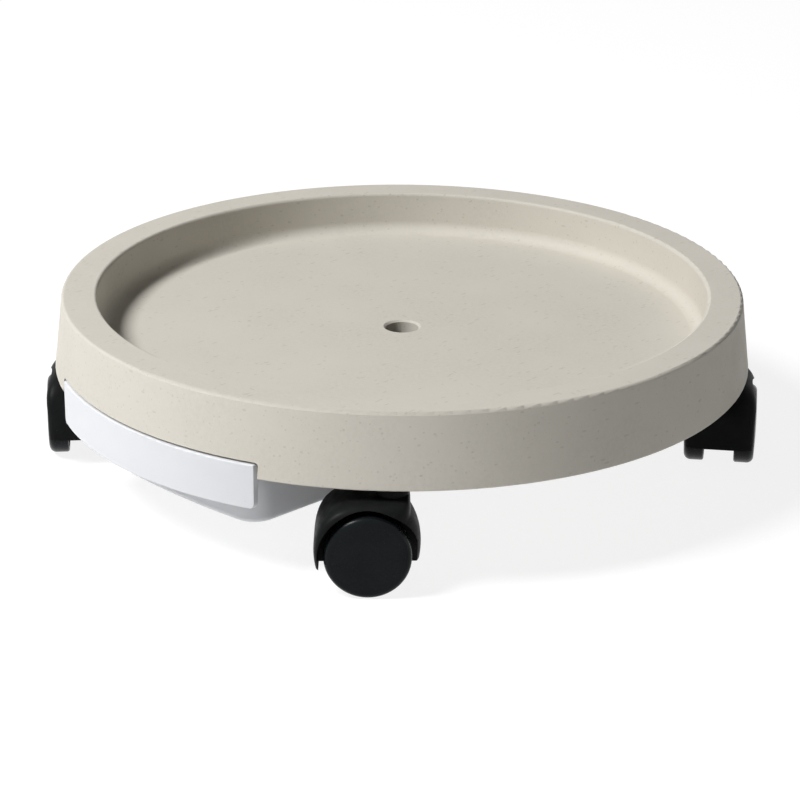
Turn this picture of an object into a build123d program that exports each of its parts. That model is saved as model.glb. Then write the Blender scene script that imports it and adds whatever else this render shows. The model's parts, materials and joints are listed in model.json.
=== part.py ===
from build123d import *
import math
import os

# A round plant caddy: a moulded tray with a broad hollow rim, a pull-out water
# drawer that hangs on two rails, and four hooded twin-wheel casters.
# Millimetres. The origin is the middle of the footprint on the floor, +Z is up,
# and the drawer opens towards -Y.

# How far a cutting shape runs past what it cuts
OVERCUT = 1.0

# Tray: the turned section
RIM_TOP = 87.0
RIM_OUTER_R = 170.0
RIM_INNER_R = 152.7
WALL_FOOT_R = 151.0
POT_FLOOR = 65.0
SKIRT_BOTTOM = 50.7
SKIRT_BOTTOM_R = 174.4
WALL = 3.0
FLOOR_FILLET = 6.5
RIM_FILLET = 1.6
EDGE_FILLET = 0.7
EDGE_CHAMFER = 0.6
ROOT_FILLET = 1.5
DRAIN_R = 8.4
DRAIN_MOUTH_R = 9.4
DRAIN_MOUTH_DEPTH = 1.0
SPOUT_R = 11.0
SPOUT_BOTTOM = 58.0

# Tray: stiffening that only shows from below
RIB = 1.8
FLOOR_RIB_DEPTH = 2.5
FLOOR_RIB_COUNT = 16
RING_RIB_RADII = (48.0, 100.0)
GUSSET_COUNT = 24
GUSSET_BOTTOM = 60.0

# The notch in the skirt and the drawer panel that fills it
NOTCH_HALF = 72.3
NOTCH_TOP = 58.4
NOTCH_CORNER = 1.8
PANEL_HALF = 70.6
PANEL_TOP = 57.4
PANEL_BOTTOM = 35.4
PANEL_R = 174.3
PANEL_THICK = 2.4
PANEL_LOW_CORNER = 3.2
PANEL_HIGH_CORNER = 0.8

# The drawer's pan
PAN_HALF = 65.0
PAN_FRONT = -159.5
PAN_BOW_R = 400.0
PAN_BACK = 45.0
PAN_CORNER = 14.0
PAN_TOP = 56.6
PAN_BOTTOM = 22.4
PAN_WALL = 2.0
PAN_DRAFT = 1.1
PAN_FOOT_FILLET = 3.0
FLANGE_HALF = 70.0
FLANGE_THICK = 2.0
FLANGE_BACK = 49.0
FLANGE_CORNER = 3.0

# Rails that carry the drawer's flanges
RAIL_GAP = 0.6
RAIL_WALL = 2.0
RAIL_SLIP = 0.2
RAIL_LIP_INNER = 66.0
RAIL_FRONT = -147.0
RAIL_STOP_INNER = 60.0
EAR_WIDTH = 12.0
SCREW_X = 79.5
SCREW_YS = (-114.0, -37.0, 40.0)
SCREW_BOSS_R = 3.8
SCREW_SHANK_R = 1.5
SCREW_HOLE_R = 1.55
SCREW_LENGTH = 8.0
SCREW_HEAD_R = 3.1
SCREW_HEAD = 1.9

# Casters: wheels
CASTER_CIRCLE_R = 163.0
WHEEL_R = 20.0
WHEEL_INNER_Y = 7.5
WHEEL_WIDTH = 10.5
WHEEL_EDGE = 3.4
WHEEL_RIM = 2.4
WHEEL_FACE = 2.0
WHEEL_HUB_R = 4.8
WHEEL_DOME = 0.5
WHEEL_INNER_EDGE = 1.2
WHEEL_DOME_INSET = 0.2
WHEEL_RIBS = 6
WHEEL_RIB = 1.4
WHEEL_RIB_START = 1.5
WHEEL_RIB_SINK = 1.0
BORE_END_ROOM = 0.3
BORE_LIP_DEPTH = 0.3
BORE_LIP_HALF = 0.4
BORE_LIP_FLAT_HALF = 0.1
AXLE_R = 2.5
AXLE_SLIP = 0.06
AXLE_HALF = 15.0
AXLE_CHAMFER = 0.4
AXLE_FIT = 0.02
AXLE_GROOVE_Y = 12.6
AXLE_GROOVE_WIDTH = 1.2
AXLE_GROOVE_DEPTH = 0.4
TRAIL = 11.0

# Casters: hood
HOOD_R = 25.2
HOOD_CENTRE_Z = 21.7
HOOD_HALF = 19.2
HOOD_ARCH = 11.0
HOOD_LEAD_CORNER = 17.0
HOOD_TRAIL_CORNER = 6.0
HOOD_LEAD_X = -8.2
HOOD_LIP_TRAIL = 14.2
HOOD_LIP_LEAD = 14.8
HOOD_WELL_R = 22.9
WEB_HALF = 6.9
NECK_R = 7.5
NECK_TOP = 51.9

# Casters: swivel stem and the rings that hold it
PIN_R = 4.0
PIN_SLIP = 0.06
PIN_BOTTOM = 24.0
PIN_END_ROOM = 0.5
PIN_CHAMFER = 0.6
SNAP_Z = 28.0
SNAP_RING_HEIGHT = 1.0
SNAP_RING_INSET = 0.65
SNAP_RING_REACH = 0.9
SNAP_RING_GAP_DEGREES = 70.0
SNAP_GROOVE_DEPTH = 0.7
SNAP_GROOVE_HEIGHT = 1.2
SNAP_ROOM_R = 5.4
SNAP_ROOM_HEIGHT = 1.6
COLLAR_R = 7.0
COLLAR_BOTTOM = 52.0
BOSS_BOTTOM = 53.6
BOSS_R = 9.6
SOCKET_R = 5.5
SOCKET_TOP = 79.0
STEM_R = 5.0
STEM_TOP = 77.0
STEM_CHAMFER = 1.2
GRIP_Z = 69.0
GRIP_HEIGHT = 4.0
GRIP_INSET = 0.85
GRIP_FIT = 0.02
GRIP_GAP_DEGREES = 40.0
GRIP_GROOVE_DEPTH = 0.9
GRIP_GROOVE_ROOM = 0.2

# Where each caster stands round the tray and which way its wheels trail, in degrees
CASTERS = {
    "front_right": (-45.0, -133.6),
    "back_right": (45.0, -51.6),
    "back_left": (135.0, -62.0),
    "front_left": (-135.0, -38.0),
}


def turned(points, fillets=(), chamfers=()):
    """A solid turned about Z from (radius, height) points; the rest are (point number, size)."""
    face = make_face(Polyline(*[(r, 0, z) for r, z in points], close=True))
    for shape_corner, sizes in ((fillet, fillets), (chamfer, chamfers)):
        for number, size in sizes:
            r, z = points[number]
            corner = face.vertices().sort_by_distance((r, 0, z))[0]
            face = shape_corner(corner, size)
    return revolve(face, Axis.Z, 360)


def column(radius, low, high, x=0.0, y=0.0):
    """An upright round bar between two heights."""
    return Pos(x, y, (low + high) / 2) * Cylinder(radius, high - low)


def block(x_low, x_high, y_low, y_high, z_low, z_high):
    """A box between two corners."""
    middle = Pos((x_low + x_high) / 2, (y_low + y_high) / 2, (z_low + z_high) / 2)
    return middle * Box(x_high - x_low, y_high - y_low, z_high - z_low)


def wall_radius(z, outwards=0.0):
    """Radius of the tray's inner wall at a height, moved outwards into the channel."""
    rise = (z - POT_FLOOR) / (RIM_TOP - POT_FLOOR)
    return WALL_FOOT_R + (RIM_INNER_R - WALL_FOOT_R) * rise + outwards


def skirt_radius(z):
    """Outer radius of the skirt at a height."""
    drop = (RIM_TOP - z) / (RIM_TOP - SKIRT_BOTTOM)
    return RIM_OUTER_R + (SKIRT_BOTTOM_R - RIM_OUTER_R) * drop


def tray_shell():
    """The turned shell: floor, sloping inner wall, flat rim, outer skirt and drain spout."""
    ceiling = RIM_TOP - WALL
    underside = POT_FLOOR - WALL
    points = [
        (DRAIN_R, SPOUT_BOTTOM),
        (DRAIN_R, POT_FLOOR - DRAIN_MOUTH_DEPTH),
        (DRAIN_MOUTH_R, POT_FLOOR),
        (WALL_FOOT_R, POT_FLOOR),
        (RIM_INNER_R, RIM_TOP),
        (RIM_OUTER_R, RIM_TOP),
        (SKIRT_BOTTOM_R, SKIRT_BOTTOM),
        (SKIRT_BOTTOM_R - WALL, SKIRT_BOTTOM),
        (skirt_radius(ceiling) - WALL, ceiling),
        (wall_radius(ceiling, WALL), ceiling),
        (wall_radius(underside, WALL), underside),
        (SPOUT_R, underside),
        (SPOUT_R, SPOUT_BOTTOM),
    ]
    fillets = [
        (2, DRAIN_MOUTH_DEPTH / 2),
        (3, FLOOR_FILLET),
        (4, RIM_FILLET),
        (5, RIM_FILLET),
        (8, ROOT_FILLET),
        (9, ROOT_FILLET),
        (10, FLOOR_FILLET),
        (11, ROOT_FILLET),
    ]
    return turned(points, fillets, [(6, EDGE_CHAMFER), (7, EDGE_CHAMFER)])


def inside_rim():
    """The space from the middle of the inner wall to the middle of the skirt."""
    low = SKIRT_BOTTOM + EDGE_CHAMFER
    high = RIM_TOP - WALL / 2
    half = WALL / 2
    return turned(
        [
            (wall_radius(low, half), low),
            (wall_radius(high, half), high),
            (skirt_radius(high) - half, high),
            (skirt_radius(low) - half, low),
        ]
    )


def under_floor():
    """The space from the middle of the floor down to the skirt's edge."""
    return column(SKIRT_BOTTOM_R - WALL, SKIRT_BOTTOM, POT_FLOOR - WALL / 2)


def gussets():
    """Upright webs across the hollow rim."""
    web = block(WALL_FOOT_R, RIM_OUTER_R, -RIB / 2, RIB / 2, GUSSET_BOTTOM, RIM_TOP - WALL / 2)
    step = 360 / GUSSET_COUNT
    webs = [Rot(0, 0, (number + 0.5) * step) * web for number in range(GUSSET_COUNT)]
    return (Part() + webs) & inside_rim()


def rail_room(side):
    """The space beside the drawer that is kept free of floor ribs for one rail."""
    room = 1.0
    low = POT_FLOOR - WALL - FLOOR_RIB_DEPTH - room
    high = POT_FLOOR - WALL
    back = FLANGE_BACK + RAIL_SLIP + RAIL_WALL + room
    inner = FLANGE_HALF + RAIL_GAP
    web_xs = sorted((side * (inner - room), side * (inner + RAIL_WALL + room)))
    stop_xs = sorted((side * (RAIL_STOP_INNER - room), side * inner))
    web = block(*web_xs, RAIL_FRONT - room, back, low, high)
    stop = block(*stop_xs, FLANGE_BACK - room, back, low, high)
    return web + stop


def floor_ribs():
    """Radial and ring ribs under the floor."""
    top = POT_FLOOR - WALL / 2
    low = POT_FLOOR - WALL - FLOOR_RIB_DEPTH
    hub = (DRAIN_R + SPOUT_R) / 2
    bar = block(hub, WALL_FOOT_R, -RIB / 2, RIB / 2, low, top)
    step = 360 / FLOOR_RIB_COUNT
    pieces = [Rot(0, 0, (number + 0.5) * step) * bar for number in range(FLOOR_RIB_COUNT)]
    for radius in RING_RIB_RADII:
        pieces.append(column(radius + RIB, low, top) - column(radius, low, top))
    return Part() + pieces - rail_room(1) - rail_room(-1)


def caster_place(angle):
    """Centre of a caster's stem in plan."""
    turn = math.radians(angle)
    return CASTER_CIRCLE_R * math.cos(turn), CASTER_CIRCLE_R * math.sin(turn)


def screw_places():
    """Plan position of every rail screw."""
    return [(side * SCREW_X, y) for side in (-1, 1) for y in SCREW_YS]


def notch():
    """The window in the skirt that the drawer's panel fills, as a cutting block."""
    height = 2 * (NOTCH_TOP - SKIRT_BOTTOM)
    outline = Rectangle(2 * NOTCH_HALF, height)
    outline = fillet(outline.vertices().group_by(Axis.Y)[-1], NOTCH_CORNER)
    face = Plane.XZ * Pos(0, NOTCH_TOP - height / 2) * outline
    inner = math.sqrt((SKIRT_BOTTOM_R - 2 * WALL) ** 2 - NOTCH_HALF**2)
    return Pos(0, -inner, 0) * extrude(face, SKIRT_BOTTOM_R)


def make_tray():
    """The tray, with its caster sockets, ribs, screw bosses and the drawer's notch."""
    tray = tray_shell() + gussets() + floor_ribs()
    sockets = []
    bores = []
    for angle, _ in CASTERS.values():
        x, y = caster_place(angle)
        sockets.append(column(BOSS_R, BOSS_BOTTOM, RIM_TOP - WALL / 2, x, y))
        bores.append(column(SOCKET_R, BOSS_BOTTOM, SOCKET_TOP, x, y))
    tray += (Part() + sockets) & (inside_rim() + under_floor())
    for x, y in screw_places():
        tray += column(SCREW_BOSS_R, lip_top(), POT_FLOOR - WALL / 2, x, y)
        bores.append(column(SCREW_HOLE_R, lip_top(), lip_top() + SCREW_LENGTH, x, y))
    tray -= Part() + bores
    return tray - notch()


def lip_top():
    """Height of the rail's lip, just under the drawer's flange."""
    return PAN_TOP - FLANGE_THICK - RAIL_SLIP


def pan_outline(shrink=0.0):
    """Plan of the pan: straight sides, a bowed front and round corners, drawn in by shrink."""
    half = PAN_HALF - shrink
    front = PAN_FRONT + shrink
    back = PAN_BACK - shrink
    shoulder = front + half**2 / (2 * PAN_BOW_R)
    edges = [
        ThreePointArc((-half, shoulder), (0, front), (half, shoulder)),
        Line((half, shoulder), (half, back)),
        Line((half, back), (-half, back)),
        Line((-half, back), (-half, shoulder)),
    ]
    face = make_face(edges)
    return fillet(face.vertices(), PAN_CORNER - shrink)


def pan_body(inset, bottom):
    """A drafted block with the pan's plan, narrowing downwards, with a rounded foot."""
    top_face = Plane.XY.offset(PAN_TOP) * pan_outline(inset)
    low_face = Plane.XY.offset(bottom) * pan_outline(inset + PAN_DRAFT)
    body = loft([top_face, low_face], ruled=True)
    return fillet(body.faces().sort_by(Axis.Z)[0].edges(), PAN_FOOT_FILLET)


def drawer_panel():
    """The curved front, with ends parallel to the way it pulls."""
    ring = turned(
        [
            (PANEL_R - PANEL_THICK, PANEL_BOTTOM),
            (PANEL_R, PANEL_BOTTOM),
            (PANEL_R, PANEL_TOP),
            (PANEL_R - PANEL_THICK, PANEL_TOP),
        ],
        [(0, EDGE_FILLET), (1, EDGE_FILLET), (2, EDGE_FILLET)],
    )
    outline = Rectangle(2 * PANEL_HALF, PANEL_TOP - PANEL_BOTTOM)
    outline = fillet(outline.vertices().group_by(Axis.Y)[0], PANEL_LOW_CORNER)
    outline = fillet(outline.vertices().group_by(Axis.Y)[-1], PANEL_HIGH_CORNER)
    face = Plane.XZ * Pos(0, (PANEL_TOP + PANEL_BOTTOM) / 2) * outline
    return ring & (Pos(0, -PANEL_R / 2, 0) * extrude(face, PANEL_R))


def make_drawer():
    """The water drawer: a deep pan, side and back flanges, and the curved front panel."""
    deck = Pos(0, FLANGE_BACK - PANEL_R / 2) * Rectangle(2 * FLANGE_HALF, PANEL_R)
    deck += Pos(0, -PANEL_R / 2) * Rectangle(2 * FLANGE_HALF, PANEL_R)
    deck = fillet(deck.vertices().group_by(Axis.Y)[-1], FLANGE_CORNER)
    deck &= Circle(PANEL_R - PANEL_THICK / 2)
    flange = extrude(Plane.XY.offset(PAN_TOP - FLANGE_THICK) * deck, FLANGE_THICK)
    body = pan_body(0.0, PAN_BOTTOM) + flange + drawer_panel()
    return body - pan_body(PAN_WALL, PAN_BOTTOM + PAN_WALL)


def make_rail(side):
    """One rail: web, lip under the drawer's flange, back stop and three screw ears."""
    inner = FLANGE_HALF + RAIL_GAP
    outer = inner + RAIL_WALL
    low = lip_top() - RAIL_WALL
    high = POT_FLOOR - WALL
    stop = FLANGE_BACK + RAIL_SLIP
    back = stop + RAIL_WALL
    rail = block(inner, outer, RAIL_FRONT, back, low, high)
    rail += block(RAIL_LIP_INNER, outer, RAIL_FRONT, back, low, lip_top())
    rail += block(RAIL_STOP_INNER, outer, stop, back, low, high)
    for y in SCREW_YS:
        ear = Pos((inner + SCREW_X) / 2, y) * Rectangle(SCREW_X - inner, EAR_WIDTH)
        ear += Pos(SCREW_X, y) * Circle(EAR_WIDTH / 2)
        rail += extrude(Plane.XY.offset(low) * ear, RAIL_WALL)
        rail -= column(SCREW_HOLE_R, low - OVERCUT, lip_top() + OVERCUT, SCREW_X, y)
    return rail if side > 0 else mirror(rail, Plane.YZ)


def make_screw():
    """A pan-head tapping screw, driven upwards, with a cross recess."""
    seat = lip_top() - RAIL_WALL
    under = seat - SCREW_HEAD
    head = column(SCREW_HEAD_R, under, seat)
    head = fillet(head.edges().group_by(Axis.Z)[0], SCREW_HEAD / 2)
    slot = Pos(0, 0, under) * Box(1.2 * SCREW_HEAD_R, SCREW_HEAD_R / 4, SCREW_HEAD)
    shank = column(SCREW_SHANK_R, seat, seat + SCREW_LENGTH)
    shank = chamfer(shank.edges().group_by(Axis.Z)[-1], SCREW_SHANK_R / 2)
    return head + shank - slot - Rot(0, 0, 90) * slot


def across(radius, low, high):
    """A round bar on the axle's line, between two offsets from the caster's middle plane."""
    return Pos(TRAIL, (low + high) / 2, WHEEL_R) * Rot(90, 0, 0) * Cylinder(radius, high - low)


def hood_outside():
    """The hood's outer form: one outline from the side, one from the end and one from above."""
    top = HOOD_CENTRE_Z + HOOD_R
    drum = Pos(TRAIL, HOOD_CENTRE_Z) * Circle(HOOD_R)
    shoulder_middle = Pos((HOOD_LEAD_X + TRAIL) / 2, top - HOOD_R / 2)
    shoulder = shoulder_middle * Rectangle(TRAIL - HOOD_LEAD_X, HOOD_R)
    from_side = extrude(Plane.XZ * (drum + shoulder), HOOD_HALF, both=True)
    arch = Pos(0, top / 2) * Rectangle(2 * HOOD_HALF, top)
    arch = fillet(arch.vertices().group_by(Axis.Y)[-1], HOOD_ARCH)
    from_end = extrude(Plane.YZ * arch, 2 * HOOD_R, both=True)
    plan = Pos(TRAIL, 0) * Rectangle(2 * HOOD_R, 2 * HOOD_HALF)
    plan = fillet(plan.vertices().group_by(Axis.X)[0], HOOD_LEAD_CORNER)
    plan = fillet(plan.vertices().group_by(Axis.X)[-1], HOOD_TRAIL_CORNER)
    return from_side & from_end & extrude(plan, top)


def below_lips():
    """Everything under the hood's sloping lower lips."""
    reach = 2 * HOOD_R
    rise = (HOOD_LIP_LEAD - HOOD_LIP_TRAIL) / 2
    outline = Polyline(
        (TRAIL - reach, -reach),
        (TRAIL + reach, -reach),
        (TRAIL + reach, HOOD_LIP_TRAIL - rise),
        (TRAIL - reach, HOOD_LIP_LEAD + rise),
        close=True,
    )
    return extrude(Plane.XZ * make_face(outline), reach, both=True)


def make_hood():
    """The caster's body: hood, middle web, neck, pin socket and axle hole."""
    hood = hood_outside() - below_lips()
    hood += column(NECK_R, HOOD_CENTRE_Z + HOOD_R - NECK_R / 2, NECK_TOP)
    for side in (-1, 1):
        hood -= across(HOOD_WELL_R, *sorted((side * WEB_HALF, side * 2 * HOOD_HALF)))
    hood -= column(PIN_R + PIN_SLIP, PIN_BOTTOM - PIN_END_ROOM, NECK_TOP)
    half = SNAP_ROOM_HEIGHT / 2
    hood -= column(SNAP_ROOM_R, SNAP_Z - half, SNAP_Z + half)
    return hood - across(AXLE_R + AXLE_FIT, -WEB_HALF, WEB_HALF)


def groove(radius, depth, middle, height):
    """A cutting ring that leaves a groove in an upright bar."""
    low = middle - height / 2
    high = middle + height / 2
    return column(radius + OVERCUT, low, high) - column(radius - depth, low, high)


def make_stem():
    """The steel stem: pin in the hood, collar under the tray, shank in the socket."""
    stem = chamfer(column(PIN_R, PIN_BOTTOM, COLLAR_BOTTOM).edges().group_by(Axis.Z)[0], PIN_CHAMFER)
    shank = chamfer(column(STEM_R, BOSS_BOTTOM, STEM_TOP).edges().group_by(Axis.Z)[-1], STEM_CHAMFER)
    stem += column(COLLAR_R, COLLAR_BOTTOM, BOSS_BOTTOM) + shank
    stem -= groove(STEM_R, GRIP_GROOVE_DEPTH, GRIP_Z, GRIP_HEIGHT + GRIP_GROOVE_ROOM)
    return stem - groove(PIN_R, SNAP_GROOVE_DEPTH, SNAP_Z, SNAP_GROOVE_HEIGHT)


def split_ring(inner, outer, middle, height, gap_degrees):
    """A flat spring ring with a slot in it."""
    low = middle - height / 2
    ring = column(outer, low, low + height) - column(inner, low, low + height)
    reach = 2 * outer
    spread = reach * math.tan(math.radians(gap_degrees / 2))
    wedge = make_face(Polyline((0, 0), (reach, spread), (reach, -spread), close=True))
    return ring - extrude(Plane.XY.offset(low) * wedge, height)


def make_grip_ring():
    """The spring ring that grips the tray's socket."""
    return split_ring(STEM_R - GRIP_INSET, SOCKET_R - GRIP_FIT, GRIP_Z, GRIP_HEIGHT, GRIP_GAP_DEGREES)


def make_snap_ring():
    """The small ring that keeps the pin in the hood."""
    inner = PIN_R - SNAP_RING_INSET
    outer = PIN_R + SNAP_RING_REACH
    return split_ring(inner, outer, SNAP_Z, SNAP_RING_HEIGHT, SNAP_RING_GAP_DEGREES)


def make_axle():
    """The wheel pin, grooved near each end where the wheels snap on."""
    axle = across(AXLE_R, -AXLE_HALF, AXLE_HALF)
    axle = chamfer(axle.edges().filter_by(GeomType.CIRCLE), AXLE_CHAMFER)
    for side in (-1, 1):
        low = side * AXLE_GROOVE_Y - AXLE_GROOVE_WIDTH / 2
        high = low + AXLE_GROOVE_WIDTH
        axle -= across(AXLE_R + OVERCUT, low, high) - across(AXLE_R - AXLE_GROOVE_DEPTH, low, high)
    return axle


def wheel_section():
    """Half section of a wheel: X is the radius and Y runs from the inner side to the face."""
    bore = AXLE_R + AXLE_SLIP
    bore_end = AXLE_HALF - WHEEL_INNER_Y + BORE_END_ROOM
    lip = AXLE_GROOVE_Y - WHEEL_INNER_Y
    shoulder = WHEEL_WIDTH - WHEEL_DOME
    dome_r = WHEEL_R - WHEEL_EDGE - WHEEL_DOME_INSET
    under_face = shoulder - WHEEL_FACE
    face_arc = ThreePointArc(
        (0, WHEEL_WIDTH),
        (dome_r / 2, WHEEL_WIDTH - WHEEL_DOME / 4),
        (dome_r, shoulder),
    )
    outline = Polyline(
        (dome_r, shoulder),
        (WHEEL_R, shoulder),
        (WHEEL_R, 0),
        (WHEEL_R - WHEEL_RIM, 0),
        (WHEEL_R - WHEEL_RIM, under_face),
        (WHEEL_HUB_R, under_face),
        (WHEEL_HUB_R, 0),
        (bore, 0),
        (bore, lip - BORE_LIP_HALF),
        (AXLE_R - BORE_LIP_DEPTH, lip - BORE_LIP_FLAT_HALF),
        (AXLE_R - BORE_LIP_DEPTH, lip + BORE_LIP_FLAT_HALF),
        (bore, lip + BORE_LIP_HALF),
        (bore, bore_end),
        (0, bore_end),
        (0, WHEEL_WIDTH),
    )
    section = make_face([face_arc, outline])
    for r, height, radius in (
        (WHEEL_R, shoulder, WHEEL_EDGE),
        (WHEEL_R, 0, WHEEL_INNER_EDGE),
        (WHEEL_R - WHEEL_RIM, under_face, WHEEL_INNER_EDGE),
    ):
        corner = section.vertices().sort_by_distance((r, height, 0))[0]
        section = fillet(corner, radius)
    return section


def make_wheel(side):
    """One wheel: a cup closed on its outer face, with a hub, ribs and a snap lip in the bore."""
    wheel = revolve(wheel_section(), Axis.Y, 360)
    top = WHEEL_WIDTH - WHEEL_DOME - WHEEL_FACE / 2
    inner = WHEEL_HUB_R - WHEEL_RIB_SINK
    outer = WHEEL_R - WHEEL_RIM / 2
    rib = block(inner, outer, WHEEL_RIB_START, top, -WHEEL_RIB / 2, WHEEL_RIB / 2)
    wheel += [Rot(0, number * 360 / WHEEL_RIBS, 0) * rib for number in range(WHEEL_RIBS)]
    placed = Pos(TRAIL, WHEEL_INNER_Y, WHEEL_R) * wheel
    return placed if side > 0 else mirror(placed, Plane.XZ)


def caster_pieces():
    """Every piece of one caster, with its stem on the Z axis and its wheels trailing to +X."""
    return {
        "stem": make_stem(),
        "grip_ring": make_grip_ring(),
        "snap_ring": make_snap_ring(),
        "hood": make_hood(),
        "axle": make_axle(),
        "wheel_left": make_wheel(1),
        "wheel_right": make_wheel(-1),
    }


def all_nodes():
    """Every node of the caddy by name, each in its place."""
    screw = make_screw()
    nodes = {
        "tray": make_tray(),
        "drawer": make_drawer(),
        "drawer_rail_right": make_rail(1),
        "drawer_rail_left": make_rail(-1),
        "rail_screws": Compound([Pos(x, y, 0) * screw for x, y in screw_places()]),
    }
    pieces = caster_pieces()
    for place, (angle, trail) in CASTERS.items():
        x, y = caster_place(angle)
        for piece, shape in pieces.items():
            nodes[f"{place}_{piece}"] = Pos(x, y, 0) * Rot(0, 0, trail) * shape
    return nodes


def main():
    """Writes one STEP file for each node."""
    os.makedirs("parts", exist_ok=True)
    for name, shape in all_nodes().items():
        export_step(shape, f"parts/{name}.step")


main()
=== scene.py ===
import json
import math

import bmesh
import bpy
from mathutils import Matrix, Vector


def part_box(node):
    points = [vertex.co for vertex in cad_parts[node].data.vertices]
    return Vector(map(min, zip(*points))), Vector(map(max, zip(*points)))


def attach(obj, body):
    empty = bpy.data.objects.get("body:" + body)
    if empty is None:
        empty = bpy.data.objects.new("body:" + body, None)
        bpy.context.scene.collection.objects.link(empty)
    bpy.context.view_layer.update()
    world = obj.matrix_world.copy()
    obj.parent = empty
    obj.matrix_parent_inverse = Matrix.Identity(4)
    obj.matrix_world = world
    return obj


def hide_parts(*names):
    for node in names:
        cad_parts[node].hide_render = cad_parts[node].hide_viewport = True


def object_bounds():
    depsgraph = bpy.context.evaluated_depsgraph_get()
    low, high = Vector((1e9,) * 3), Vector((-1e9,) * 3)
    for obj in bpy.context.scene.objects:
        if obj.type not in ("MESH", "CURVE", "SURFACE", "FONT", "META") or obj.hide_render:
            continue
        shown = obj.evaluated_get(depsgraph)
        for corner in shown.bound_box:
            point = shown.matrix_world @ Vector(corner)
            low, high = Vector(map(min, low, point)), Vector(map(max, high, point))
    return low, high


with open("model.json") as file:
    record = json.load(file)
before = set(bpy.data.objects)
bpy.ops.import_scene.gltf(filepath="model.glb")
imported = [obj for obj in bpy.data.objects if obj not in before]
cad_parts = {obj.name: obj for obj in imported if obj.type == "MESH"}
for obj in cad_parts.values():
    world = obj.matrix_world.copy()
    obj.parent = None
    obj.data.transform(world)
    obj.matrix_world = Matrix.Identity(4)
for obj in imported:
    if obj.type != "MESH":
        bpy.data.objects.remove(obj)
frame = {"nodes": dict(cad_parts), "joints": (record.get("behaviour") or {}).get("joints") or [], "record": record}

# A round plant caddy on four hooded casters, with a water drawer under its tray.
# Metres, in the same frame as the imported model.

cad_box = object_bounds()

CASTERS = ("front_right", "back_right", "back_left", "front_left")

# The camera of the photograph, in pixels of an 800 wide frame and in metres
FRAME_PIXELS = 800
FOCAL_PIXELS = 2640.73
SENSOR = 36.0
CAMERA_AZIMUTH = 46.4
CAMERA_ELEVATION = 21.95
CAMERA_DISTANCE = 1.34895
CAMERA_ROLL = 0.34
AIM_RIGHT = -0.00084
AIM_BELOW_RIM = 0.06234
CLIP_NEAR = 0.05
CLIP_FAR = 40.0

# Lamps, surroundings and floor
LAMP_DISTANCE = 3.0
LAMP_SIZE = 0.95
KEY_LEVEL = 1.12
KEY_TURN = 66.0
KEY_ELEVATION = 52.0
FILL_LEVEL = 0.045
FILL_TURN = -80.0
FILL_ELEVATION = 3.0
AMBIENT = 0.04
FLOOR_SPAN = 8.0
FLOOR_ALBEDO = 0.95
FLOOR_SEEN_ALBEDO = 0.22
FLOOR_GLOW = 0.86

# Linear colours
BEIGE = (0.60, 0.57, 0.507)
RAIL_BEIGE = (0.50, 0.475, 0.43)
WHITE = (0.70, 0.71, 0.735)
HOOD_BLACK = (0.0080, 0.0084, 0.0088)
WHEEL_BLACK = (0.0060, 0.0078, 0.0090)
FLECK_BROWN = (0.20, 0.165, 0.125)
STEEL = (0.55, 0.55, 0.56)
DUST_GREY = (0.16, 0.15, 0.14)

# Finishes: how strong the flecks are, roughness from low to high, strength of the grain, and gloss
TRAY_FLECKS = 0.18
RAIL_FLECKS = 0.14
FIBRE_ROUGHNESS = (0.56, 0.70)
FIBRE_GLOSS = 0.2
WHITE_ROUGHNESS = (0.32, 0.44)
WHITE_GLOSS = 0.4
HOOD_ROUGHNESS = (0.36, 0.50)
HOOD_GRAIN = 0.30
HOOD_GLOSS = 0.05
WHEEL_ROUGHNESS = (0.22, 0.31)
WHEEL_GRAIN = 0.10
WHEEL_GLOSS = 0.09
STEEL_ROUGHNESS = (0.24, 0.42)

# The part of a noise's values that is spread over a finish's range
NOISE_LOW = 0.3
NOISE_HIGH = 0.7

# The caster's hood, about its own stem: X trails, Y runs along the axle
HOOD_R = 0.0252
HOOD_CENTRE_Z = 0.0217
HOOD_HALF = 0.0192
HOOD_TRAIL = 0.011
HOOD_LEAD_X = -0.0082
HOOD_LIP_TRAIL = 0.0142
HOOD_LIP_LEAD = 0.0148
HOOD_WELL_R = 0.0229
HOOD_WEB_HALF = 0.0069
HOOD_NECK_R = 0.0075
HOOD_BORE_R = 0.00406
HOOD_BORE_BOTTOM = 0.0235
HOOD_AXLE_R = 0.00252
HOOD_ROUNDING = 0.00045
HOOD_ROUNDING_STEPS = 2
HOOD_ROUNDED_FROM = 38.0
HOOD_SHARP_FROM = 42.0
HOOD_CUTS = 47
HOOD_BLEND = 14.0
HOOD_PLAN_SLACK = 1.07
ARCH_POWER = 3.5
LEAD_POWER = 1.8
TRAIL_POWER = 5.5
TURNED_STEPS = 128
CUT_TOLERANCE = 1e-7


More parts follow.
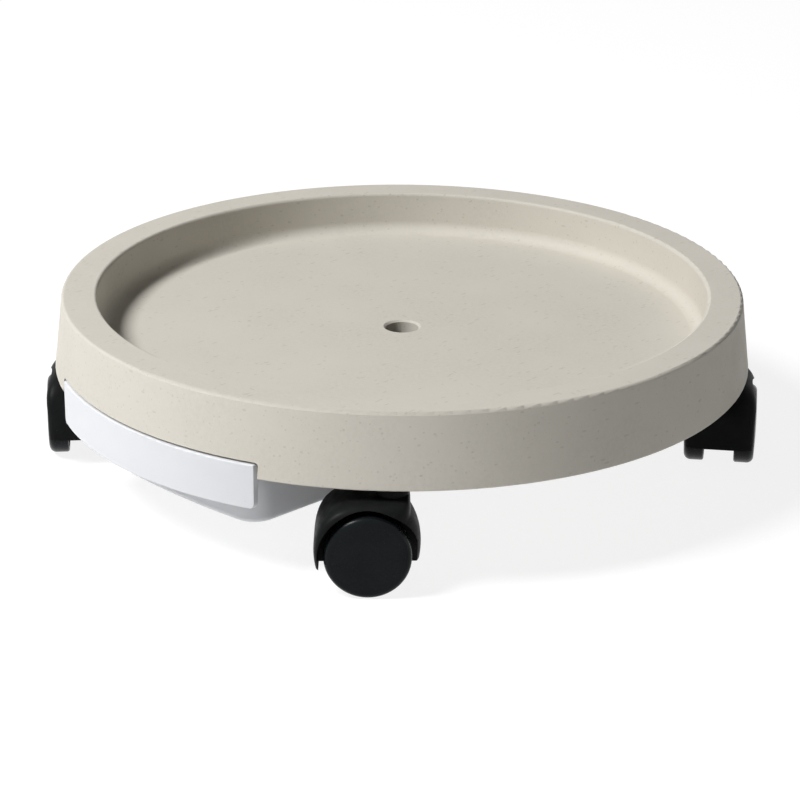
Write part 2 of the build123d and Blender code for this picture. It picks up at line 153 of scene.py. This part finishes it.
class Recipe:
    """A material's node tree, with short calls for the nodes that this scene uses."""

    def __init__(self, name):
        self.material = bpy.data.materials.new(name)
        self.material.use_nodes = True
        self.tree = self.material.node_tree
        self.shader = self.tree.nodes["Principled BSDF"]
        self.place = self.node("ShaderNodeTexCoord").outputs["Object"]

    def node(self, kind, **settings):
        """A new node with its settings."""
        made = self.tree.nodes.new(kind)
        for setting, value in settings.items():
            setattr(made, setting, value)
        return made

    def link(self, source, target):
        """Joins an output to an input."""
        self.tree.links.new(source, target)

    def set(self, **sockets):
        """Constants on the shader's own sockets; underscores stand for spaces."""
        for socket, value in sockets.items():
            self.shader.inputs[socket.replace("_", " ")].default_value = value

    def stretched(self, scale, turn):
        """The object's coordinates, turned and stretched."""
        mapping = self.node("ShaderNodeMapping")
        mapping.inputs["Rotation"].default_value = turn
        mapping.inputs["Scale"].default_value = scale
        self.link(self.place, mapping.inputs["Vector"])
        return mapping.outputs["Vector"]

    def noise(self, scale, detail=2.0, rough=0.5, place=None):
        """A soft random pattern."""
        made = self.node("ShaderNodeTexNoise")
        made.inputs["Scale"].default_value = scale
        made.inputs["Detail"].default_value = detail
        made.inputs["Roughness"].default_value = rough
        self.link(place or self.place, made.inputs["Vector"])
        return made.outputs["Fac"]

    def cells(self, scale, place=None):
        """A random pattern of cells."""
        made = self.node("ShaderNodeTexVoronoi")
        made.inputs["Scale"].default_value = scale
        self.link(place or self.place, made.inputs["Vector"])
        return made

    def ranged(self, value, low, high, out_low, out_high):
        """Carries one range of values smoothly over to another."""
        made = self.node("ShaderNodeMapRange", interpolation_type="SMOOTHSTEP")
        self.link(value, made.inputs["Value"])
        made.inputs["From Min"].default_value = low
        made.inputs["From Max"].default_value = high
        made.inputs["To Min"].default_value = out_low
        made.inputs["To Max"].default_value = out_high
        return made.outputs["Result"]

    def spread(self, noise, low, high):
        """Spreads the middle of a noise between two values."""
        return self.ranged(noise, NOISE_LOW, NOISE_HIGH, low, high)

    def product(self, first, second):
        """Two values multiplied."""
        made = self.node("ShaderNodeMath", operation="MULTIPLY")
        self.link(first, made.inputs[0])
        self.link(second, made.inputs[1])
        return made.outputs["Value"]

    def mixed(self, factor, first, second):
        """Mixes two colours; each is a colour or a socket."""
        made = self.node("ShaderNodeMix", data_type="RGBA")
        self.link(factor, made.inputs["Factor"])
        for socket, colour in ((made.inputs[6], first), (made.inputs[7], second)):
            if isinstance(colour, tuple):
                socket.default_value = (*colour, 1.0)
            else:
                self.link(colour, socket)
        return made.outputs[2]

    def flecks(self, scale, reach, share, place):
        """A mask of scattered flecks: some cells of a cell pattern, near their middles."""
        cell = self.cells(scale, place)
        near = self.ranged(cell.outputs["Distance"], reach * 0.55, reach, 1.0, 0.0)
        split = self.node("ShaderNodeSeparateColor")
        self.link(cell.outputs["Color"], split.inputs["Color"])
        chosen = self.ranged(split.outputs["Red"], 1.0 - share, 1.0 - share * 0.7, 0.0, 1.0)
        return self.product(near, chosen)

    def bump(self, height, strength, distance, below=None):
        """A relief, on top of another one if it is given."""
        made = self.node("ShaderNodeBump")
        made.inputs["Strength"].default_value = strength
        made.inputs["Distance"].default_value = distance
        self.link(height, made.inputs["Height"])
        if below:
            self.link(below, made.inputs["Normal"])
        return made.outputs["Normal"]

    def finish(self, colour, roughness, normal):
        """Joins the patterns to the shader and gives the material."""
        self.link(colour, self.shader.inputs["Base Color"])
        self.link(roughness, self.shader.inputs["Roughness"])
        self.link(normal, self.shader.inputs["Normal"])
        return self.material


def shade(colour, factor):
    """A colour made lighter or darker."""
    return tuple(channel * factor for channel in colour)


def fibre_plastic(name, colour, fleck_strength):
    """Moulded plastic filled with plant fibre: mottled, with fine dark flecks and a matte grain."""
    recipe = Recipe(name)
    cloud = recipe.ranged(recipe.noise(22.0, 3.0, 0.55), 0.32, 0.68, 0.0, 1.0)
    body = recipe.mixed(cloud, shade(colour, 0.965), shade(colour, 1.03))
    grain = recipe.ranged(recipe.noise(520.0, 3.0, 0.65), 0.30, 0.70, 0.0, 1.0)
    body = recipe.mixed(grain, body, shade(colour, 1.02))
    # Each kind of fleck: stretch, turn, scale, reach and share of the cells
    fleck_kinds = (
        ((1.0, 0.28, 1.0), (0.3, 0.2, 0.5), 430.0, 0.28, 0.16),
        ((1.0, 0.32, 1.0), (-0.5, 0.4, -0.8), 520.0, 0.28, 0.16),
        ((0.3, 1.0, 0.8), (0.9, -0.3, 1.2), 380.0, 0.22, 0.12),
        ((1.0, 1.0, 1.0), (0.1, 0.6, 0.2), 900.0, 0.26, 0.16),
    )
    for stretch, turn, scale, reach, share in fleck_kinds:
        fleck = recipe.flecks(scale, reach, share, recipe.stretched(stretch, turn))
        depth = recipe.ranged(fleck, 0.0, 1.0, 0.0, fleck_strength)
        body = recipe.mixed(depth, body, FLECK_BROWN)
    roughness = recipe.spread(recipe.noise(90.0, 3.0, 0.6), *FIBRE_ROUGHNESS)
    ripple = recipe.bump(recipe.noise(60.0, 2.0, 0.5), 0.10, 0.0006)
    normal = recipe.bump(recipe.noise(1500.0, 3.0, 0.6), 0.20, 0.00012, ripple)
    recipe.set(Specular_IOR_Level=FIBRE_GLOSS)
    return recipe.finish(body, roughness, normal)


def white_plastic():
    """The drawer: smooth white plastic with faint flow shading and a satin skin."""
    recipe = Recipe("white_plastic")
    flow = recipe.noise(14.0, 3.0, 0.5, recipe.stretched((0.4, 1.0, 2.2), (0.0, 0.0, 0.15)))
    body = recipe.mixed(recipe.spread(flow, 0.0, 1.0), shade(WHITE, 0.97), shade(WHITE, 1.015))
    specks = recipe.flecks(180.0, 0.10, 0.10, recipe.place)
    body = recipe.mixed(recipe.ranged(specks, 0.0, 1.0, 0.0, 0.25), body, shade(WHITE, 0.6))
    roughness = recipe.spread(recipe.noise(70.0, 3.0, 0.6), *WHITE_ROUGHNESS)
    ripple = recipe.bump(recipe.noise(40.0, 2.0, 0.5), 0.08, 0.0008)
    normal = recipe.bump(recipe.noise(1900.0, 2.0, 0.5), 0.06, 0.0001, ripple)
    recipe.set(Specular_IOR_Level=WHITE_GLOSS)
    return recipe.finish(body, roughness, normal)


def black_plastic(name, colour, rough_range, grain_strength, gloss):
    """Black moulded plastic with a fine spark-eroded grain and a trace of handling dust."""
    recipe = Recipe(name)
    cloud = recipe.ranged(recipe.noise(75.0, 4.0, 0.6), 0.35, 0.65, 0.0, 1.0)
    body = recipe.mixed(cloud, shade(colour, 0.86), shade(colour, 1.14))
    dust = recipe.flecks(420.0, 0.14, 0.08, recipe.place)
    body = recipe.mixed(recipe.ranged(dust, 0.0, 1.0, 0.0, 0.10), body, DUST_GREY)
    scuffs = recipe.noise(260.0, 4.0, 0.7, recipe.stretched((1.0, 0.25, 1.0), (0.4, 0.2, 0.3)))
    roughness = recipe.spread(scuffs, *rough_range)
    ripple = recipe.bump(recipe.noise(120.0, 2.0, 0.5), 0.06, 0.0004)
    normal = recipe.bump(recipe.noise(2600.0, 3.0, 0.6), grain_strength, 0.0001, ripple)
    recipe.set(Specular_IOR_Level=gloss)
    return recipe.finish(body, roughness, normal)


def plated_steel():
    """Bright zinc-plated steel with fine drawing lines."""
    recipe = Recipe("plated_steel")
    lines = recipe.noise(420.0, 3.0, 0.6, recipe.stretched((1.0, 1.0, 6.0), (0.0, 0.0, 0.0)))
    cloud = recipe.spread(recipe.noise(160.0, 3.0, 0.6), 0.0, 1.0)
    body = recipe.mixed(cloud, shade(STEEL, 0.9), shade(STEEL, 1.08))
    roughness = recipe.spread(lines, *STEEL_ROUGHNESS)
    normal = recipe.bump(lines, 0.12, 0.00008)
    recipe.set(Metallic=1.0)
    return recipe.finish(body, roughness, normal)


def dress_nodes(finishes):
    """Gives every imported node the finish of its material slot."""
    slots = {row["node"]: row["material_slot"] for row in frame["record"]["subparts"]}
    for name, node in frame["nodes"].items():
        for place in node.material_slots:
            place.material = finishes[slots[name]]


def joint_place(name):
    """Where a joint is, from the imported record."""
    places = {joint["name"]: joint["pos_m"] for joint in frame["joints"] if "pos_m" in joint}
    return Vector(places[name])


def round_power(first, second, power):
    """Distance measure of a rounded square: 1 on its edge."""
    return (abs(first) ** power + abs(second) ** power) ** (1.0 / power)


def hood_measure(p):
    """1 on the hood's outer surface, from its outlines from the side, the end and above."""
    length = HOOD_R if p.x < 0 else HOOD_R * HOOD_PLAN_SLACK
    shoulder = HOOD_TRAIL - HOOD_LEAD_X
    drum = math.hypot(p.x, p.z) / HOOD_R
    if p.x < 0 and p.z > 0:
        corner = max(-p.x / shoulder, p.z / HOOD_R)
        drum = min(drum, corner)
    if p.z > 0:
        arch = round_power(p.y / HOOD_HALF, p.z / HOOD_R, ARCH_POWER)
    else:
        arch = abs(p.y) / HOOD_HALF
    power = LEAD_POWER if p.x < 0 else TRAIL_POWER
    plan = round_power(p.x / length, p.y / HOOD_HALF, power)
    total = drum**HOOD_BLEND + arch**HOOD_BLEND + plan**HOOD_BLEND
    return total ** (1.0 / HOOD_BLEND)


def solid(name, work):
    """An object from a bmesh."""
    mesh = bpy.data.meshes.new(name)
    work.to_mesh(mesh)
    work.free()
    made = bpy.data.objects.new(name, mesh)
    bpy.context.scene.collection.objects.link(made)
    return made


def rod(name, radius, low, high, along, at):
    """A round bar along an axis letter, from low to high, through a point."""
    work = bmesh.new()
    bmesh.ops.create_cone(
        work, cap_ends=True, segments=TURNED_STEPS, radius1=radius, radius2=radius, depth=high - low
    )
    bmesh.ops.translate(work, vec=(0, 0, (low + high) / 2), verts=work.verts)
    if along == "Y":
        turn = Matrix.Rotation(math.radians(-90), 3, "X")
        bmesh.ops.rotate(work, cent=(0, 0, 0), matrix=turn, verts=work.verts)
    bmesh.ops.translate(work, vec=at, verts=work.verts)
    return solid(name, work)


def with_tool(target, tool, operation):
    """Cuts a piece with a tool, or joins the tool to it, and removes the tool."""
    cut = target.modifiers.new("cut", "BOOLEAN")
    cut.operation = operation
    cut.object = tool
    cut.solver = "EXACT"
    settle(target)
    bpy.data.objects.remove(tool)


def settle(target):
    """Applies a piece's modifiers to its mesh."""
    graph = bpy.context.evaluated_depsgraph_get()
    shaped = bpy.data.meshes.new_from_object(target.evaluated_get(graph))
    target.modifiers.clear()
    target.data = shaped


def hood_mesh(trail, axle_z, neck_top):
    """One hood about its own stem, smooth outside, with two wheel wells, a neck and its bores."""
    work = bmesh.new()
    bmesh.ops.create_cube(work, size=2.0)
    bmesh.ops.subdivide_edges(work, edges=work.edges[:], cuts=HOOD_CUTS, use_grid_fill=True)
    for vert in work.verts:
        ray = vert.co.normalized()
        vert.co = ray / hood_measure(ray)
    bmesh.ops.translate(work, vec=(trail, 0, HOOD_CENTRE_Z), verts=work.verts)
    slope = (HOOD_LIP_TRAIL - HOOD_LIP_LEAD) / (2 * HOOD_R)
    middle = (HOOD_LIP_TRAIL + HOOD_LIP_LEAD) / 2
    cut = bmesh.ops.bisect_plane(
        work,
        geom=work.verts[:] + work.edges[:] + work.faces[:],
        dist=CUT_TOLERANCE,
        plane_co=(trail, 0, middle),
        plane_no=Vector((-slope, 0, 1)).normalized(),
        clear_inner=True,
    )
    rim = [item for item in cut["geom_cut"] if isinstance(item, bmesh.types.BMEdge)]
    bmesh.ops.edgeloop_fill(work, edges=rim)
    bmesh.ops.recalc_face_normals(work, faces=work.faces)
    hood = solid("hood_form", work)
    top = HOOD_CENTRE_Z + HOOD_R
    with_tool(hood, rod("neck", HOOD_NECK_R, top - HOOD_NECK_R / 2, neck_top, "Z", (0, 0, 0)), "UNION")
    for side in (-1, 1):
        low, high = sorted((side * HOOD_WEB_HALF, side * 2 * HOOD_HALF))
        well = rod("well", HOOD_WELL_R, low, high, "Y", (trail, 0, axle_z))
        with_tool(hood, well, "DIFFERENCE")
    bore = rod("bore", HOOD_BORE_R, HOOD_BORE_BOTTOM, neck_top + HOOD_NECK_R, "Z", (0, 0, 0))
    with_tool(hood, bore, "DIFFERENCE")
    cross = rod("cross", HOOD_AXLE_R, -HOOD_HALF, HOOD_HALF, "Y", (trail, 0, axle_z))
    with_tool(hood, cross, "DIFFERENCE")
    edge = hood.modifiers.new("edge", "BEVEL")
    edge.width = HOOD_ROUNDING
    edge.segments = HOOD_ROUNDING_STEPS
    edge.limit_method = "ANGLE"
    edge.angle_limit = math.radians(HOOD_ROUNDED_FROM)
    settle(hood)
    mesh = hood.data
    bpy.data.objects.remove(hood)
    mesh.shade_smooth()
    mesh.set_sharp_from_angle(angle=math.radians(HOOD_SHARP_FROM))
    return mesh


def add_hoods(finish):
    """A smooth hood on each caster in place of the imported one."""
    mesh = None
    for place in CASTERS:
        stem = joint_place(f"{place}_swivel")
        hub = joint_place(f"{place}_wheel_left_spin")
        reach = Vector((hub.x - stem.x, hub.y - stem.y))
        node = f"{place}_hood"
        if mesh is None:
            mesh = hood_mesh(reach.length, hub.z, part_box(node)[1].z)
        turn = Matrix.Rotation(math.atan2(reach.y, reach.x), 4, "Z")
        shape = mesh.copy()
        shape.transform(Matrix.Translation((stem.x, stem.y, 0)) @ turn)
        hood = bpy.data.objects.new(f"{place}_hood_shell", shape)
        bpy.context.scene.collection.objects.link(hood)
        shape.materials.clear()
        shape.materials.append(finish)
        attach(hood, f"{place}_caster")
        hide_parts(node)


def seen_directly(tree):
    """A socket that is 1 for rays from the camera and in mirror or clear reflections."""
    path = tree.nodes.new("ShaderNodeLightPath")
    total = path.outputs["Is Camera Ray"]
    for ray in ("Is Glossy Ray", "Is Transmission Ray"):
        joined = tree.nodes.new("ShaderNodeMath")
        joined.operation = "MAXIMUM"
        tree.links.new(total, joined.inputs[0])
        tree.links.new(path.outputs[ray], joined.inputs[1])
        total = joined.outputs["Value"]
    return total


def make_world():
    """Even white surroundings: white where they are seen, softer as a light."""
    world = bpy.data.worlds.new("studio")
    world.use_nodes = True
    tree = world.node_tree
    back = tree.nodes["Background"]
    level = tree.nodes.new("ShaderNodeMapRange")
    level.inputs["To Min"].default_value = AMBIENT
    level.inputs["To Max"].default_value = 1.0
    tree.links.new(seen_directly(tree), level.inputs["Value"])
    back.inputs["Color"].default_value = (1, 1, 1, 1)
    tree.links.new(level.outputs["Result"], back.inputs["Strength"])
    bpy.context.scene.world = world


def plain_diffuse(tree, albedo):
    """A matte grey surface of the given lightness."""
    made = tree.nodes.new("ShaderNodeBsdfDiffuse")
    made.inputs["Color"].default_value = (albedo, albedo, albedo, 1)
    return made.outputs["BSDF"]


def make_floor():
    """The pale floor: a soft white that keeps the caddy's shadow."""
    work = bmesh.new()
    bmesh.ops.create_grid(work, x_segments=1, y_segments=1, size=FLOOR_SPAN / 2)
    floor = solid("studio_floor", work)
    material = bpy.data.materials.new("studio_floor")
    material.use_nodes = True
    tree = material.node_tree
    tree.nodes.remove(tree.nodes["Principled BSDF"])
    bounced = plain_diffuse(tree, FLOOR_ALBEDO)
    shown = tree.nodes.new("ShaderNodeAddShader")
    glow = tree.nodes.new("ShaderNodeEmission")
    glow.inputs["Strength"].default_value = FLOOR_GLOW
    tree.links.new(plain_diffuse(tree, FLOOR_SEEN_ALBEDO), shown.inputs[0])
    tree.links.new(glow.outputs["Emission"], shown.inputs[1])
    either = tree.nodes.new("ShaderNodeMixShader")
    tree.links.new(seen_directly(tree), either.inputs["Fac"])
    tree.links.new(bounced, either.inputs[1])
    tree.links.new(shown.outputs["Shader"], either.inputs[2])
    tree.links.new(either.outputs["Shader"], tree.nodes["Material Output"].inputs["Surface"])
    floor.data.materials.append(material)


def compass(turn, elevation):
    """A unit direction: turn degrees clockwise from the camera's side seen from above."""
    around = math.radians(CAMERA_AZIMUTH - turn)
    up = math.radians(elevation)
    return Vector((math.cos(up) * math.sin(around), -math.cos(up) * math.cos(around), math.sin(up)))


def make_lamp(name, level, turn, elevation):
    """A soft round lamp; its level is what it adds to a white surface that faces it."""
    data = bpy.data.lights.new(name, "AREA")
    data.shape = "DISK"
    data.size = LAMP_SIZE
    data.energy = level * (math.pi * LAMP_DISTANCE) ** 2
    lamp = bpy.data.objects.new(name, data)
    away = compass(turn, elevation)
    lamp.location = away * LAMP_DISTANCE
    lamp.rotation_euler = away.to_track_quat("Z", "Y").to_euler()
    bpy.context.scene.collection.objects.link(lamp)


def make_camera():
    """The photograph's camera."""
    towards = compass(0.0, CAMERA_ELEVATION)
    right = Vector((-compass(0.0, 0.0).y, compass(0.0, 0.0).x, 0.0))
    up = towards.cross(right)
    roll = math.radians(CAMERA_ROLL)
    aim = right * AIM_RIGHT + Vector((0, 0, cad_box[1][2] - AIM_BELOW_RIM))
    x_axis = math.cos(roll) * right + math.sin(roll) * up
    y_axis = math.cos(roll) * up - math.sin(roll) * right
    matrix = Matrix((x_axis, y_axis, towards)).transposed().to_4x4()
    matrix.translation = aim + towards * CAMERA_DISTANCE
    data = bpy.data.cameras.new("photo_camera")
    data.sensor_width = SENSOR
    data.lens = FOCAL_PIXELS / FRAME_PIXELS * SENSOR
    data.clip_start = CLIP_NEAR
    data.clip_end = CLIP_FAR
    camera = bpy.data.objects.new("photo_camera", data)
    camera.matrix_world = matrix
    bpy.context.scene.collection.objects.link(camera)
    bpy.context.scene.camera = camera


def main():
    """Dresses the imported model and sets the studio."""
    finishes = {
        "tray_moulding": fibre_plastic("fibre_plastic", BEIGE, TRAY_FLECKS),
        "rail_moulding": fibre_plastic("rail_plastic", RAIL_BEIGE, RAIL_FLECKS),
        "drawer_moulding": white_plastic(),
        "hood_moulding": black_plastic("hood_plastic", HOOD_BLACK, HOOD_ROUGHNESS, HOOD_GRAIN, HOOD_GLOSS),
        "wheel_moulding": black_plastic(
            "wheel_plastic", WHEEL_BLACK, WHEEL_ROUGHNESS, WHEEL_GRAIN, WHEEL_GLOSS
        ),
        "plated_steel": plated_steel(),
    }
    dress_nodes(finishes)
    add_hoods(finishes["hood_moulding"])
    make_world()
    make_floor()
    make_lamp("key", KEY_LEVEL, KEY_TURN, KEY_ELEVATION)
    make_lamp("fill", FILL_LEVEL, FILL_TURN, FILL_ELEVATION)
    make_camera()
    bpy.context.scene.view_settings.view_transform = "Standard"


main()
